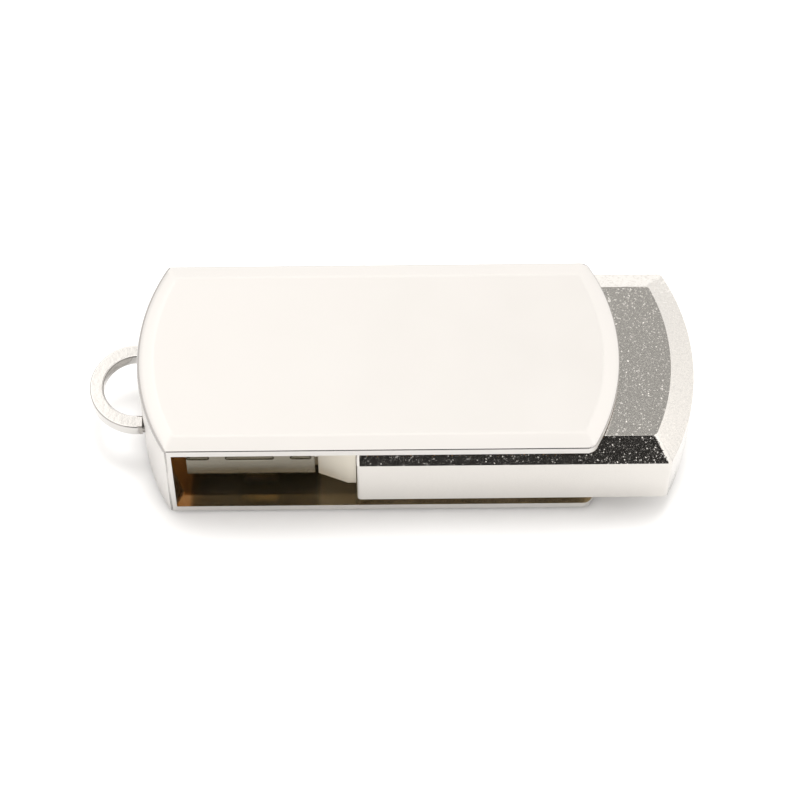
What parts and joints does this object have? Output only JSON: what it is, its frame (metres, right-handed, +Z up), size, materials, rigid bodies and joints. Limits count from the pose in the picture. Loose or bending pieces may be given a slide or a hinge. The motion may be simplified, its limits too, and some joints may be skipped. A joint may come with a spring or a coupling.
{
  "type": "usb flash drive",
  "caption": "Swivel USB flash drive: a cast metal body with a standard plug turns inside a stamped metal sleeve that covers the plug and carries a key loop.",
  "frame": {"origin": "bottom centre of the closed drive's box, on the lower panel that it lies on", "axes": "+X from the key loop to the drive's rounded rear end, +Y across the plates, +Z up through the swivel's two plates"},
  "size_m": [0.0434, 0.0156, 0.0096],
  "materials": {
    "sleeve_nickel": "satin nickel plate",
    "loop_nickel": "bright nickel plate",
    "stud_steel": "turned steel",
    "bush_acetal": "white acetal",
    "body_nickel": "bright nickel plate over a fine cast grain",
    "collar_nickel": "satin nickel plate",
    "plug_steel": "satin steel",
    "tongue_plastic": "moulded plastic",
    "contact_gold": "gold flash",
    "solder": "solder",
    "board_laminate": "solder mask over laminate",
    "chip_resin": "moulded resin",
    "can_steel": "drawn can",
    "capacitor_ceramic": "ceramic",
    "resistor_ceramic": "ceramic",
    "insulator_film": "clear amber film"
  },
  "bodies": {
    "sleeve": {"swivel_sleeve": "sleeve_nickel", "key_loop": "loop_nickel", "upper_pivot_stud": "stud_steel", "lower_pivot_stud": "stud_steel"},
    "drive": {"upper_pivot_bush": "bush_acetal", "lower_pivot_bush": "bush_acetal", "body_shell": "body_nickel", "front_collar": "collar_nickel", "plug_shell": "plug_steel", "plug_tongue": "tongue_plastic", "contact_power": "contact_gold", "contact_data_minus": "contact_gold", "contact_data_plus": "contact_gold", "contact_ground": "contact_gold", "contact_solder_joints": "solder", "circuit_board": "board_laminate", "memory_chip": "chip_resin", "memory_solder_balls": "solder", "controller_chip": "chip_resin", "controller_leads": "solder", "crystal_can": "can_steel", "voltage_regulator": "chip_resin", "capacitors": "capacitor_ceramic", "resistors": "resistor_ceramic", "upper_insulator": "insulator_film", "lower_insulator": "insulator_film"}
  },
  "joints": [
    {"name": "drive_swivel", "type": "hinge", "parent": "sleeve", "child": "drive", "pos_m": [0.00862, 0, 0.0048], "axis": [0, 0, 1], "continuous": true}
  ]
}
